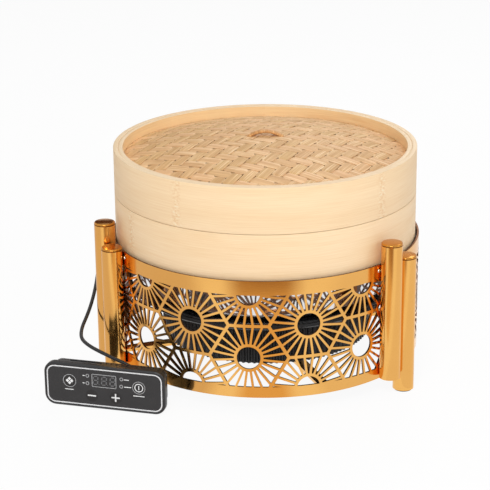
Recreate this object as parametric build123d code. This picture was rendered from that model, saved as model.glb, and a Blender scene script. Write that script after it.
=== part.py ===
from build123d import *
from math import cos, pi, radians, sin, tan
import os

# A dumpling steamer for a shop counter: a bamboo basket with its lid stands on a steel water pan,
# the pan on an induction cooker, and the cooker on a cross inside a pierced ring on six tubes.
# A control box on a cord stands beside it.
# Millimetres and degrees. Up is +Z and the front is -Y. The model is drawn about the ring's axis,
# and angles round it count from the front towards +X. The last step moves the footprint's
# centre to the origin.

# Flats that stand for the large rounds, so that the meshes stay light
SIDES = 40
COIL_SIDES = 20

# Bamboo basket and lid
BAMBOO_R = 160.0
PLY = 5.0
PLY_GAP = 0.3
BASKET_H = 57.0
LID_H = 48.3
BASKET_SLATS = 15
SLAT_GAP = 4.0
SLAT_T = 2.5
CROSSBAR_W = 14.0
CROSSBAR_H = 7.0
CROSSBAR_LIFT = 3.0
CROSSBAR_OFFSET = 70.0
WEAVE_T = 2.5
WEAVE_SINK = 11.0
WEAVE_CROWN = 19.5
WEAVE_MIDDLE_R = 80.0
WEAVE_TOP_R = 24.0
BRACE_W = 12.0
BRACE_T = 3.0
HANDLE_W = 36.0
HANDLE_H = 7.0
HANDLE_STRIP_W = 8.0
HANDLE_STRIP_T = 3.0

# Pierced ring
RING_R = 164.0
SHEET = 2.0
RING_BOTTOM = 17.8
RING_H = 125.0
TOP_BAND = 15.0
BOTTOM_BAND = 11.5
PANELS = 3
PANEL_CENTRE = -9.4
SEAM = 0.2
END_MARGIN = 4.5
COLUMN_PITCH = 21.3
PATTERN_SHIFT = 3.2
ROW_PITCH = 68.3
LOW_ROW = 61.0
STRAP = 3.2
RAYS = 12
RAY_TIP_W = 2.6
HUB_R = 15.0
HUB_HOLE_R = 12.0
HUB_SIDES = 6

# Posts
POST_R = 11.0
POST_SIDES = 20
POST_LENGTH = 144.0
RAISED_LIFT = 21.4
POST_SPREAD = 8.06
CAP_H = 2.6
PAD_R = 9.5
PAD_SIDES = 10
PAD_H = 1.5

# Rim brackets and the cross that carries the cooker
BRACKET_W = 20.0
BRACKET_LEG = 11.0
BRACKET_T = 1.5
BRACKET_REACH = 8.0
BRACKET_ANGLES = (-36.0, 36.0)
CROSS_TURN = -69.4
CROSS_W = 12.0
CROSS_T = 3.0
CROSS_TOP = 29.0
WELD_GAP = 0.3

# Induction cooker
FOOT_SIDE = 14.0
FOOT_H = 4.0
FOOT_RADIUS = 80.0
HOUSING_R = 112.0
HOUSING_WALL = 4.0
HOUSING_FLOOR = 3.0
HOUSING_H = 47.0
RIBS = 24
RIB_DEPTH = 2.5
RIB_SLOPE = 0.1
FLANGE_R = 140.0
FLANGE_H = 6.0
FLANGE_OVERLAP = 6.0
GLASS_T = 3.0
COIL_OUT = 88.0
COIL_IN = 28.0
COIL_T = 5.0
COIL_GAP = 1.0
CARRIER_T = 2.5
CARRIER_LEG = 10.0
CARRIER_LEG_RADIUS = 78.0
SENSOR_R = 9.0
FAN_SIDE = 64.0
FAN_H = 15.0
FAN_BORE_R = 29.0
FAN_HUB_R = 12.0
FAN_BLADES = 7
FAN_SIDES = 14
FAN_BLADE_T = 1.5
FAN_BLADE_PITCH = 35.0
FAN_AT = (-34.0, 40.0)
BOARD_SIZE = (120.0, 56.0, 1.6)
BOARD_AT = (0.0, -46.0)
RAIL_W = 6.0
RAIL_H = 8.0
SINK_FINS = 6
SINK_SIZE = (48.0, 26.0, 18.0)
SINK_BASE = 4.0
SINK_FIN_T = 2.2

# Water pan
PAN_T = 1.2
PAN_BOTTOM_R = 130.0
PAN_KNEE_R = 138.0
PAN_KNEE_H = 6.0
PAN_TOP_R = 148.0
PAN_RIM_R = 158.0
PAN_H = 44.0

# Control box
BOX_W = 129.3
BOX_H = 47.0
BOX_FRONT_DEPTH = 8.0
BOX_CORNER_R = 9.0
BOX_BORDER = 3.0
BOX_WALL = 3.0
BOX_CENTRE = (-164.65, -151.05)
BOX_TURN = -14.55
CASE_INSET = 4.0
CASE_DEPTH = 14.0
FASCIA_T = 1.5
FIT = 0.2
DISPLAY_SIZE = (26.0, 5.0, 13.0)
DISPLAY_AT = (0.0, 31.2)
KEY_BOARD_SIZE = (100.0, 1.6, 28.0)

# Cord and its glands
CORD_R = 1.9
CORD_SIDES = 6
GLAND_R = 5.0
GLAND_LENGTH = 9.0
GLAND_ANGLE = -100.0
GLAND_HEIGHT = 52.0
BOX_GLAND_SIZE = (8.0, 10.0, 10.0)
BOX_GLAND_X = 50.0
BOX_GLAND_Z = 26.0
BEND_SHARE = 0.45

# Heights and radii that follow
BEND = COLUMN_PITCH / 2
HALF_PANEL = 180 / PANELS
RING_TOP = RING_BOTTOM + RING_H
RIM_BAND_BOTTOM = RING_TOP - TOP_BAND
POST_RING_R = RING_R + POST_R
INNER_R = (RING_R - SHEET) * cos(radians(BEND / 2))
HOUSING_BOTTOM = CROSS_TOP + FOOT_H
HOUSING_TOP = HOUSING_BOTTOM + HOUSING_H
FLANGE_TOP = HOUSING_TOP + FLANGE_H
GLASS_TOP = FLANGE_TOP + GLASS_T
PAN_RIM_TOP = GLASS_TOP + PAN_H
BASKET_BOTTOM = PAN_RIM_TOP
LID_BOTTOM = BASKET_BOTTOM + BASKET_H
LID_TOP = LID_BOTTOM + LID_H
LINER_R = BAMBOO_R - PLY
INSIDE_R = LINER_R - PLY
SLAT_BOTTOM = BASKET_BOTTOM + CROSSBAR_LIFT + CROSSBAR_H
WEAVE_EDGE = LID_TOP - WEAVE_SINK
WEAVE_R = INSIDE_R - PLY_GAP
FLAT_SHARE = cos(pi / SIDES)
CORD_ROUTE = (
    (-136.0, 24.0, 52.0),
    (-149.0, 32.0, 66.0),
    (-151.0, 40.0, 87.0),
    (-166.0, 43.5, 97.0),
    (-178.0, 34.0, 101.0),
    (-182.0, 10.0, 95.0),
    (-183.0, -18.0, 82.5),
    (-187.5, -45.0, 67.5),
    (-196.0, -72.0, 53.0),
    (-190.0, -92.0, 48.5),
    (-160.0, -114.0, 42.0),
    (-137.0, -126.5, 36.5),
    (-128.8, -132.5, 26.0),
)

parts = {}


def keep(name, shape, angle=0.0):
    """Stores one sub-part, turned round the ring's axis."""
    parts[name] = Rot(0, 0, angle) * shape


def stacked(*outline, sides=SIDES):
    """A round form with flats, from (radius, height) points going upwards."""
    turns = [2 * pi / sides * step for step in range(sides)]
    rings = [[Vector(r * cos(a), r * sin(a), z) for a in turns] for r, z in outline]
    walls = [rings[0][::-1], rings[-1]]
    for low, high in zip(rings, rings[1:]):
        for step in range(sides):
            walls.append([low[step - 1], low[step], high[step], high[step - 1]])
    return Solid(Shell([Face(Wire.make_polygon(wall, close=True)) for wall in walls]))


def disc(radius, bottom, top, sides=SIDES):
    """An upright drum with flats."""
    return Pos(0, 0, bottom) * extrude(RegularPolygon(radius, sides), top - bottom)


def tube(outer, inner, bottom, top, sides=SIDES):
    """An upright ring with flats."""
    ring = RegularPolygon(outer, sides) - RegularPolygon(inner, sides)
    return Pos(0, 0, bottom) * extrude(ring, top - bottom)


def upright(size, x, y, bottom):
    """A box standing on a height, centred on x and y."""
    return Pos(x, y, bottom) * Box(*size, align=(Align.CENTER, Align.CENTER, Align.MIN))


def rounded_block(width, height, corner, front, depth):
    """A round-cornered plate standing on edge, from its front face backwards."""
    face = Plane.XZ * Pos(0, height / 2) * RectangleRounded(width, height, corner)
    return Pos(0, front + depth, 0) * extrude(face, depth)


# Pierced ring: the sheet is drawn with one flat for each half column of the pattern


def sheet_point(radius, angle):
    """A point of the bent sheet, whose bends lie on the radius."""
    off_centre = (angle - PATTERN_SHIFT) % BEND - BEND / 2
    reach = radius * cos(radians(BEND / 2)) / cos(radians(off_centre))
    return (reach * sin(radians(angle)), -reach * cos(radians(angle)))


def sheet_angles():
    end = HALF_PANEL - SEAM / 2
    count = int(2 * HALF_PANEL / BEND) + 2
    bends = [PATTERN_SHIFT + BEND * step for step in range(-count, count)]
    return [-end] + [a for a in bends if -end < a < end] + [end]


def bent_sheet(angles, bottom, top):
    outside = [sheet_point(RING_R, a) for a in angles]
    inside = [sheet_point(RING_R - SHEET, a) for a in reversed(angles)]
    return Pos(0, 0, bottom) * extrude(Polygon(*outside, *inside, align=None), top - bottom)


def rim_band():
    """The plain band round the basket's foot, each flat a piece of its own to hold its true form."""
    angles = sheet_angles()
    flats = [bent_sheet(pair, RIM_BAND_BOTTOM, RING_TOP) for pair in zip(angles, angles[1:])]
    return Compound(flats)


def window(tip_angle, left, right):
    """A three-cornered window: its tip on the hub, its base along the strap between two rays."""
    base = Vector(right[0] - left[0], right[1] - left[1])
    cut = base.normalized() * RAY_TIP_W / 2
    tip = (HUB_R * cos(radians(tip_angle)), HUB_R * sin(radians(tip_angle)))
    return Polygon(
        tip, (left[0] + cut.X, left[1] + cut.Y), (right[0] - cut.X, right[1] - cut.Y), align=None
    )


def rosette():
    """The openings of one hexagon: pointed windows between the rays, and the hole in the hub."""
    half_row = ROW_PITCH / 2
    inset = 1 - STRAP / ROW_PITCH
    corner = (RING_R * sin(radians(COLUMN_PITCH / 3)) * inset, half_row * inset)
    point = (RING_R * sin(radians(COLUMN_PITCH * 2 / 3)) * inset, 0.0)
    middle = ((corner[0] + point[0]) / 2, corner[1] / 2)
    spots = [(0.0, corner[1]), corner, middle, point]
    tips = [90.0 - 360 / RAYS * (step + 0.5) for step in range(3)]
    quarter = [window(tip, left, right) for tip, left, right in zip(tips, spots, spots[1:])]
    upper = quarter + [mirror(face, Plane.YZ) for face in quarter]
    windows = upper + [mirror(face, Plane.XZ) for face in upper]
    hole = RegularPolygon(HUB_HOLE_R, HUB_SIDES)
    return [*windows, hole]


def column_openings(step, openings):
    """The openings of one column, clipped by the plain bands and the panel's ends."""
    angle = PATTERN_SHIFT + COLUMN_PITCH * step
    first_row = LOW_ROW - (ROW_PITCH / 2 if step % 2 else 0)
    low = RING_BOTTOM + BOTTOM_BAND
    high = RIM_BAND_BOTTOM
    limit = HALF_PANEL - END_MARGIN
    left = RING_R * sin(radians(max(-limit - angle, -COLUMN_PITCH)))
    right = RING_R * sin(radians(min(limit - angle, COLUMN_PITCH)))
    field = Pos((left + right) / 2, (low + high) / 2) * Rectangle(right - left, high - low)
    rows = (first_row, first_row + ROW_PITCH)
    clipped = [(Pos(0, row) * opening) & field for row in rows for opening in openings]
    faces = [face for sketch in clipped if sketch for face in sketch.faces()]
    plane = Plane.XZ.offset(RING_R - SHEET)
    return [Rot(0, 0, angle) * extrude(plane * face, 4 * SHEET, both=True) for face in faces]


def pierced_panel():
    openings = rosette()
    columns = int(HALF_PANEL / COLUMN_PITCH) + 1
    cutters = [c for step in range(-columns, columns + 1) for c in column_openings(step, openings)]
    return bent_sheet(sheet_angles(), RING_BOTTOM, RIM_BAND_BOTTOM) - cutters


def add_panels():
    panel = pierced_panel()
    band = rim_band()
    for step, side in enumerate(("front", "right", "rear")):
        turn = PANEL_CENTRE + 360 / PANELS * step
        keep(f"panel_{side}", panel, turn)
        keep(f"rim_band_{side}", band, turn)


# Posts: a raised one and one that reaches the floor at each seam


def rod(radius, bottom, height, sides=POST_SIDES):
    return Pos(0, -POST_RING_R, 0) * disc(radius, bottom, bottom + height, sides)


def add_posts():
    seams = {}
    for step, side in enumerate(("right", "rear", "left")):
        seams[side] = PANEL_CENTRE + HALF_PANEL + 360 / PANELS * step
    kinds = (("raised", -POST_SPREAD / 2, RAISED_LIFT), ("foot", POST_SPREAD / 2, PAD_H))
    for kind, turn, bottom in kinds:
        for side, seam in seams.items():
            keep(f"{kind}_post_{side}", rod(POST_R, bottom, POST_LENGTH), seam + turn)
        top = bottom + POST_LENGTH
        caps = [Rot(0, 0, seam + turn) * rod(POST_R, top, CAP_H) for seam in seams.values()]
        keep(f"{kind}_post_caps", Compound(caps))
    pad = rod(PAD_R, 0, PAD_H, PAD_SIDES)
    pads = [Rot(0, 0, seam + POST_SPREAD / 2) * pad for seam in seams.values()]
    keep("foot_pads", Compound(pads))


def add_rim_brackets():
    """Angle brackets inside the top band, just under the pan's rim."""
    shelf_top = PAN_RIM_TOP - PAN_T - WELD_GAP
    back = -INNER_R + WELD_GAP / 2
    leg = upright((BRACKET_W, BRACKET_T, BRACKET_LEG), 0, back + BRACKET_T / 2, shelf_top - BRACKET_LEG)
    shelf = upright(
        (BRACKET_W, BRACKET_REACH, BRACKET_T), 0, back + BRACKET_REACH / 2, shelf_top - BRACKET_T
    )
    bracket = leg + shelf
    brackets = []
    for step in range(PANELS):
        for angle in BRACKET_ANGLES:
            flat = round((angle - PATTERN_SHIFT) / BEND - 0.5) + 0.5
            turn = PANEL_CENTRE + 360 / PANELS * step + PATTERN_SHIFT + BEND * flat
            brackets.append(Rot(0, 0, turn) * bracket)
    keep("rim_brackets", Compound(brackets))


def add_cross():
    """Two flat bars, half-lapped where they cross."""
    length = 2 * (INNER_R - WELD_GAP)
    bottom = CROSS_TOP - CROSS_T
    bar = upright((CROSS_W, length, CROSS_T), 0, 0, bottom)
    lap = (CROSS_W + FIT, CROSS_W + FIT, CROSS_T / 2)
    keep("cross_bar_side", bar - upright(lap, 0, 0, CROSS_TOP - CROSS_T / 2), CROSS_TURN)
    keep("cross_bar_front", bar - upright(lap, 0, 0, bottom), CROSS_TURN + 90)


# Induction cooker


def housing_outline():
    """The ribbed wall's outline, a rib and a groove in turn."""
    points = []
    for step in range(2 * RIBS):
        radius = HOUSING_R - (RIB_DEPTH if step % 2 else 0)
        for edge in (RIB_SLOPE, 1 - RIB_SLOPE):
            angle = pi / RIBS * (step + edge)
            points.append((radius * sin(angle), -radius * cos(angle)))
    return Polygon(*points, align=None)


def add_housing():
    shell = Pos(0, 0, HOUSING_BOTTOM) * extrude(housing_outline(), HOUSING_H)
    floor = HOUSING_BOTTOM + HOUSING_FLOOR
    shell = shell - disc(HOUSING_R - RIB_DEPTH - HOUSING_WALL, floor, HOUSING_TOP)
    for side in (-1, 1):
        x = BOARD_AT[0] + side * (BOARD_SIZE[0] / 2 - RAIL_W)
        shell = shell + upright((RAIL_W, BOARD_SIZE[1], RAIL_H), x, BOARD_AT[1], floor)
    keep("cooker_housing", shell)
    feet = []
    for step in range(4):
        foot = upright((FOOT_SIDE, FOOT_SIDE, FOOT_H), 0, -FOOT_RADIUS, CROSS_TOP)
        feet.append(Rot(0, 0, CROSS_TURN + 90 * step) * foot)
    keep("cooker_feet", Compound(feet))


def add_cooker_top():
    keep("cooker_flange", tube(FLANGE_R, HOUSING_R - FLANGE_OVERLAP, HOUSING_TOP, FLANGE_TOP))
    keep("cooker_glass", disc(FLANGE_R, FLANGE_TOP, GLASS_TOP))


def add_coil():
    """The coil on a six-sided carrier, which stands on three legs."""
    coil_top = FLANGE_TOP - COIL_GAP
    coil_bottom = coil_top - COIL_T
    keep("induction_coil", tube(COIL_OUT, COIL_IN, coil_bottom, coil_top, COIL_SIDES))
    carrier_bottom = coil_bottom - CARRIER_T
    plate = extrude(RegularPolygon(COIL_OUT, 6, major_radius=False), CARRIER_T)
    carrier = Pos(0, 0, carrier_bottom) * plate
    floor = HOUSING_BOTTOM + HOUSING_FLOOR
    leg = upright(
        (CARRIER_LEG, CARRIER_LEG, carrier_bottom - floor), 0, CARRIER_LEG_RADIUS, floor
    )
    for turn in (0, 120, 240):
        carrier = carrier + Rot(0, 0, turn) * leg
    keep("coil_carrier", carrier)
    sensor = extrude(RegularPolygon(SENSOR_R, 6), FLANGE_TOP - coil_bottom)
    keep("heat_sensor", Pos(0, 0, coil_bottom) * sensor)


def fan_rotor(bottom):
    height = FAN_H - 2 * FAN_BLADE_T
    rotor = disc(FAN_HUB_R, bottom, bottom + height, FAN_SIDES)
    reach = FAN_BORE_R - FAN_HUB_R
    width = height / 2 / sin(radians(90 - FAN_BLADE_PITCH))
    blade = Rot(FAN_BLADE_PITCH, 0, 0) * Box(reach, FAN_BLADE_T, width)
    blade = Pos(FAN_HUB_R + reach / 2 - FAN_BLADE_T, 0, bottom + height / 2) * blade
    for step in range(FAN_BLADES):
        rotor = rotor + Rot(0, 0, 360 / FAN_BLADES * step) * blade
    return rotor


def add_fan():
    x, y = FAN_AT
    floor = HOUSING_BOTTOM + HOUSING_FLOOR
    frame = upright((FAN_SIDE, FAN_SIDE, FAN_H), 0, 0, floor)
    frame = frame - disc(FAN_BORE_R, floor, floor + FAN_H, COIL_SIDES)
    for turn in (45, 135):
        strut = upright((2 * FAN_BORE_R + FAN_BLADE_T, 3 * FAN_BLADE_T, FAN_BLADE_T), 0, 0, floor)
        frame = frame + Rot(0, 0, turn) * strut
    keep("fan_frame", Pos(x, y, 0) * frame)
    keep("fan_rotor", Pos(x, y, 0) * fan_rotor(floor + FAN_BLADE_T + PLY_GAP))


def add_electronics():
    x, y = BOARD_AT
    board_bottom = HOUSING_BOTTOM + HOUSING_FLOOR + RAIL_H
    keep("power_board", upright(BOARD_SIZE, x, y, board_bottom))
    width, depth, height = SINK_SIZE
    bottom = board_bottom + BOARD_SIZE[2]
    sink = upright((width, depth, SINK_BASE), x, y, bottom)
    pitch = (width - SINK_FIN_T) / (SINK_FINS - 1)
    for step in range(SINK_FINS):
        fin_x = x - (width - SINK_FIN_T) / 2 + pitch * step
        sink = sink + upright((SINK_FIN_T, depth, height), fin_x, y, bottom)
    keep("heat_sink", sink)


def gland():
    """A six-sided gland pointing along -Y from the origin."""
    return extrude(Plane.XZ * RegularPolygon(GLAND_R, 6), GLAND_LENGTH)


def add_cooker_gland():
    keep("cooker_gland", Pos(0, -HOUSING_R, GLAND_HEIGHT) * gland(), GLAND_ANGLE)


# Pan, basket and lid


def add_pan():
    bottom = GLASS_TOP
    floor = bottom + PAN_T
    knee = bottom + PAN_KNEE_H
    rim = PAN_RIM_TOP - PAN_T
    shell = stacked((PAN_BOTTOM_R, bottom), (PAN_KNEE_R, knee), (PAN_TOP_R, rim), (PAN_TOP_R, PAN_RIM_TOP))
    shell = shell + disc(PAN_RIM_R, rim, PAN_RIM_TOP)
    knee_r = PAN_KNEE_R - PAN_T
    top_r = PAN_TOP_R - PAN_T
    room = stacked((PAN_BOTTOM_R - PAN_T, floor), (knee_r, knee), (top_r, rim), (top_r, PAN_RIM_TOP))
    keep("water_pan", shell - room)


def slats():
    """Slats across the basket, each as long as the hoop lets it be."""
    pitch = 2 * WEAVE_R / BASKET_SLATS
    width = pitch - SLAT_GAP
    pieces = []
    for step in range(BASKET_SLATS):
        x = pitch * (step - (BASKET_SLATS - 1) / 2)
        far_edge = abs(x) + width / 2
        length = 2 * ((WEAVE_R * FLAT_SHARE) ** 2 - far_edge**2) ** 0.5
        pieces.append(upright((width, length, SLAT_T), x, 0, SLAT_BOTTOM))
    return Compound(pieces)


def add_basket():
    top = BASKET_BOTTOM + BASKET_H
    keep("basket_hoop", tube(BAMBOO_R, LINER_R, BASKET_BOTTOM, top))
    keep("basket_liner", tube(LINER_R, INSIDE_R, SLAT_BOTTOM, top))
    keep("basket_slats", slats())
    far_edge = CROSSBAR_OFFSET + CROSSBAR_W / 2
    length = 2 * (((LINER_R - PLY_GAP) * FLAT_SHARE) ** 2 - far_edge**2) ** 0.5
    size = (length, CROSSBAR_W, CROSSBAR_H)
    bottom = BASKET_BOTTOM + CROSSBAR_LIFT
    bars = [upright(size, 0, side * CROSSBAR_OFFSET, bottom) for side in (-1, 1)]
    keep("basket_crossbars", Compound(bars))


def weave_height(radius):
    """The dome's height above its edge."""
    return WEAVE_CROWN * (1 - (radius / WEAVE_R) ** 2)


def dome(edge):
    """The dome's form, standing on its edge."""
    radii = (WEAVE_R, WEAVE_MIDDLE_R, WEAVE_TOP_R)
    return stacked(*[(radius, edge + weave_height(radius)) for radius in radii])


def add_lid():
    keep("lid_hoop", tube(BAMBOO_R, LINER_R, LID_BOTTOM, LID_TOP))
    keep("lid_liner", tube(LINER_R, INSIDE_R, LID_BOTTOM, LID_TOP))
    low_edge = WEAVE_EDGE - WEAVE_T
    keep("lid_weave", dome(WEAVE_EDGE) + disc(WEAVE_R, low_edge, WEAVE_EDGE) - dome(low_edge))
    brace_top = WEAVE_EDGE - WEAVE_T
    length = 2 * ((WEAVE_R * FLAT_SHARE) ** 2 - (BRACE_W / 2) ** 2) ** 0.5
    bar = upright((BRACE_W, length, BRACE_T), 0, 0, brace_top - BRACE_T)
    lap = (BRACE_W + FIT, BRACE_W + FIT, BRACE_T / 2)
    keep("lid_brace_long", bar - upright(lap, 0, 0, brace_top - BRACE_T / 2))
    keep("lid_brace_cross", bar - upright(lap, 0, 0, brace_top - BRACE_T), 90)


def add_lid_handle():
    """A cane strip bent into a loop, standing on the crown of the weave."""
    half = HANDLE_W / 2
    radius = (half**2 + HANDLE_H**2) / (2 * HANDLE_H)
    crown = WEAVE_EDGE + weave_height(half)
    centre = crown + HANDLE_H - radius
    ring = Circle(radius) - Circle(radius - HANDLE_STRIP_T)
    above = Pos(0, radius - HANDLE_H / 2) * Rectangle(2 * radius, HANDLE_H)
    strip = extrude(Plane.XZ * (ring & above), HANDLE_STRIP_W / 2, both=True)
    keep("lid_handle", Pos(0, 0, centre) * strip)


# Control box, drawn facing -Y about its own foot, then turned and set beside the ring


def at_box(shape):
    x, y = BOX_CENTRE
    return Pos(x, y, 0) * Rot(0, 0, BOX_TURN) * shape


def inset_block(inset, corner, front, depth):
    plate = rounded_block(BOX_W - 2 * inset, BOX_H - 2 * inset, corner, front, depth)
    return Pos(0, 0, inset) * plate


def room(inset, front, depth):
    return upright((BOX_W - 2 * inset, depth, BOX_H - 2 * inset), 0, front + depth / 2, inset)


def add_control_box():
    pocket_r = BOX_CORNER_R - BOX_BORDER
    frame = inset_block(0, BOX_CORNER_R, 0, BOX_FRONT_DEPTH)
    frame = frame - inset_block(BOX_BORDER, pocket_r, 0, FASCIA_T)
    frame = frame - room(BOX_BORDER + BOX_WALL, 0, BOX_FRONT_DEPTH)
    keep("control_frame", at_box(frame))
    keep("control_fascia", at_box(inset_block(BOX_BORDER + FIT, pocket_r - FIT, 0, FASCIA_T)))
    case = inset_block(CASE_INSET, BOX_CORNER_R - CASE_INSET / 2, BOX_FRONT_DEPTH, CASE_DEPTH)
    case = case - room(CASE_INSET + BOX_WALL, BOX_FRONT_DEPTH, CASE_DEPTH - BOX_WALL)
    keep("control_case", at_box(case))


def add_control_inside():
    width, thick, height = KEY_BOARD_SIZE
    display_x, display_z = DISPLAY_AT
    display_depth = DISPLAY_SIZE[1]
    y = FASCIA_T + display_depth / 2
    display = upright(DISPLAY_SIZE, display_x, y, display_z - DISPLAY_SIZE[2] / 2)
    keep("display_module", at_box(display))
    y = FASCIA_T + display_depth + thick / 2
    board = upright((width, thick, height), 0, y, (BOX_H - height) / 2)
    keep("key_board", at_box(board))


def add_control_gland():
    """A side-entry gland on the back of the case."""
    width, depth, height = BOX_GLAND_SIZE
    y = BOX_FRONT_DEPTH + CASE_DEPTH + depth / 2
    keep("control_gland", at_box(upright((width, depth, height), BOX_GLAND_X, y, BOX_GLAND_Z - height / 2)))


# Cord from the cooker, out through a hub hole of the rear panel and round to the control box


def cord_points():
    start = Rot(0, 0, GLAND_ANGLE) * Pos(0, -HOUSING_R - GLAND_LENGTH, GLAND_HEIGHT)
    width, depth, height = BOX_GLAND_SIZE
    back = BOX_FRONT_DEPTH + CASE_DEPTH
    end = at_box(Pos(BOX_GLAND_X - width / 2, back + depth / 2, BOX_GLAND_Z))
    return [start.position, *[Vector(*p) for p in CORD_ROUTE], end.position]


def bend_radii(points):
    radii = []
    for before, at, after in zip(points, points[1:], points[2:]):
        turn = (at - before).get_angle(after - at)
        run = min((at - before).length, (after - at).length)
        radii.append(BEND_SHARE * run / tan(radians(turn / 2)))
    return radii


def add_cord():
    points = cord_points()
    radii = bend_radii(points)
    path = FilletPolyline(*points, radius=radii)
    section = Plane(path @ 0, z_dir=path % 0) * RegularPolygon(CORD_R, CORD_SIDES)
    cord = sweep(section, path)
    keep("control_cord", cord)
    share = section.area * path.length / cord.volume
    print("cord length", round(path.length, 1), "section times length over volume", round(share, 4))
    print("cord bend radii", [round(r, 1) for r in radii])


def footprint_centre():
    """Where the origin goes: under the middle of everything but the cord."""
    held = [shape for name, shape in parts.items() if "cord" not in name]
    box = Compound(held).bounding_box()
    return Pos(-box.center().X, -box.center().Y, -box.min.Z)


def write_parts():
    os.makedirs("parts", exist_ok=True)
    shift = footprint_centre()
    print("ring axis at", shift.position)
    for name, shape in parts.items():
        export_step(shift * shape, f"parts/{name}.step")


add_panels()
add_posts()
add_rim_brackets()
add_cross()
add_housing()
add_cooker_top()
add_coil()
add_fan()
add_electronics()
add_cooker_gland()
add_pan()
add_basket()
add_lid()
add_lid_handle()
add_control_box()
add_control_inside()
add_control_gland()
add_cord()
write_parts()
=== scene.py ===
import random
from math import asin, atan2, cos, exp, floor, hypot, pi, radians, sin, sqrt
from types import SimpleNamespace

import bmesh
import bpy
from mathutils import Matrix, Vector


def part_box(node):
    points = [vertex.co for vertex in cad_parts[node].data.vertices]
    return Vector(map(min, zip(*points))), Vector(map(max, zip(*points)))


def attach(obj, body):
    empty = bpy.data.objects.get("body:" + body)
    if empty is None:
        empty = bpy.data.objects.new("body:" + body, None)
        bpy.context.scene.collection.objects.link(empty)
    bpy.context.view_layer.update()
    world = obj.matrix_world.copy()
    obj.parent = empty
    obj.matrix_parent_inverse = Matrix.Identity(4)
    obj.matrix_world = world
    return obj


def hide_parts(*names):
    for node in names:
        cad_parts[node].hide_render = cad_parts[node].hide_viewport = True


# A dumpling steamer: bamboo basket and lid on a water pan and an induction cooker, in a pierced gold ring.
# Pieces are modelled in millimetres about the ring's axis and then moved to the frame, in metres.
# The front is -Y, and angles round the axis count from the front towards +X.

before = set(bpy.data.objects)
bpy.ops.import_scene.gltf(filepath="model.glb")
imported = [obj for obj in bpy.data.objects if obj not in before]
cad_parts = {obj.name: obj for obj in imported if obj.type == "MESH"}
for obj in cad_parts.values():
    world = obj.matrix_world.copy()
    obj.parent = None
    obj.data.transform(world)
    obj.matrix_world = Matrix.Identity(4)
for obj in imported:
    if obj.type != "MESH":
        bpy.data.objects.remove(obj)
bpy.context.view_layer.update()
mm = 0.001
boxLow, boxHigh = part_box("basket_hoop")
ringAxis = Vector(((boxLow.x + boxHigh.x) / 2, (boxLow.y + boxHigh.y) / 2, 0))
print("frame loaded, ring axis at", [round(value, 5) for value in ringAxis])


def turned(degrees, axis="Z"):
    return Matrix.Rotation(radians(degrees), 4, axis)


def sized(x, y, z):
    return Matrix.Diagonal((x, y, z, 1))


def facing(heading, axis):
    return heading.to_track_quat(axis, "Y").to_matrix().to_4x4()


def toFrame(point):
    return Vector(point) * mm + ringAxis


def addObject(name, data):
    thing = bpy.data.objects.new(name, data)
    bpy.context.scene.collection.objects.link(thing)
    return thing


def meshOf(name, shape):
    mesh = bpy.data.meshes.new(name)
    shape.to_mesh(mesh)
    shape.free()
    return mesh


def move(shape, *steps, verts=None):
    # each step is a matrix, or a vector to go along
    for step in steps:
        matrix = step if isinstance(step, Matrix) else Matrix.Translation(step)
        bmesh.ops.transform(shape, matrix=matrix, verts=shape.verts if verts is None else verts)


def disc(segments, radius):
    shape = bmesh.new()
    bmesh.ops.create_circle(shape, cap_ends=True, segments=segments, radius=radius)
    return shape


def sheetShape(width, height):
    shape = bmesh.new()
    bmesh.ops.create_grid(shape, x_segments=1, y_segments=1, size=0.5)
    move(shape, sized(width, height, 1))
    return shape


# Nodes


def feed(tree, slot, value):
    # a socket is linked, a tone gets its alpha, and a number goes in as it is
    if isinstance(value, bpy.types.NodeSocket):
        tree.links.new(value, slot)
    elif slot.type == "RGBA":
        slot.default_value = (*value, 1)
    else:
        slot.default_value = value


def setInputs(tree, node, inputs):
    for slot, value in inputs.items():
        feed(tree, node.inputs[slot], value)


def addNode(tree, kind, inputs=None, **settings):
    node = tree.nodes.new("ShaderNode" + kind)
    for label, value in settings.items():
        setattr(node, label, value)
    setInputs(tree, node, inputs or {})
    return node


def calc(tree, operation, *values, clamp=False):
    return addNode(tree, "Math", dict(enumerate(values)), operation=operation, use_clamp=clamp).outputs[0]


def times(tree, *values, clamp=False):
    return calc(tree, "MULTIPLY", *values, clamp=clamp)


def noise(tree, vector, scale, detail=3, roughness=0.55):
    inputs = {"Vector": vector, "Scale": scale, "Detail": detail, "Roughness": roughness}
    return addNode(tree, "TexNoise", inputs).outputs["Fac"]


def stretched(tree, vector, scale):
    return addNode(tree, "VectorMath", {0: vector, 1: scale}, operation="MULTIPLY").outputs[0]


def mix(tree, factor, first, second):
    return addNode(tree, "Mix", {0: factor, 6: first, 7: second}, data_type="RGBA").outputs[2]


def ramp(tree, value, low, high, start=0, end=1):
    inputs = {"Value": value, "From Min": low, "From Max": high, "To Min": start, "To Max": end}
    return addNode(tree, "MapRange", inputs).outputs["Result"]


def objectVector(tree):
    return addNode(tree, "TexCoord").outputs["Object"]


def newMaterial(name, colour=(0.8, 0.8, 0.8), **inputs):
    material = bpy.data.materials.new(name)
    material.use_nodes = True
    tree = material.node_tree
    shader = tree.nodes["Principled BSDF"]
    setInputs(tree, shader, {"Base Color": colour, **inputs})
    return material, tree, shader


def dress(tree, shader, colour, roughness, height, strength):
    bump = addNode(tree, "Bump", {"Strength": strength, "Distance": 0.0002, "Height": height})
    inputs = {"Base Color": colour, "Roughness": roughness, "Normal": bump.outputs["Normal"]}
    setInputs(tree, shader, inputs)


def showSurface(tree, shader):
    setInputs(tree, tree.nodes["Material Output"], {"Surface": shader.outputs[0]})


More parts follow.
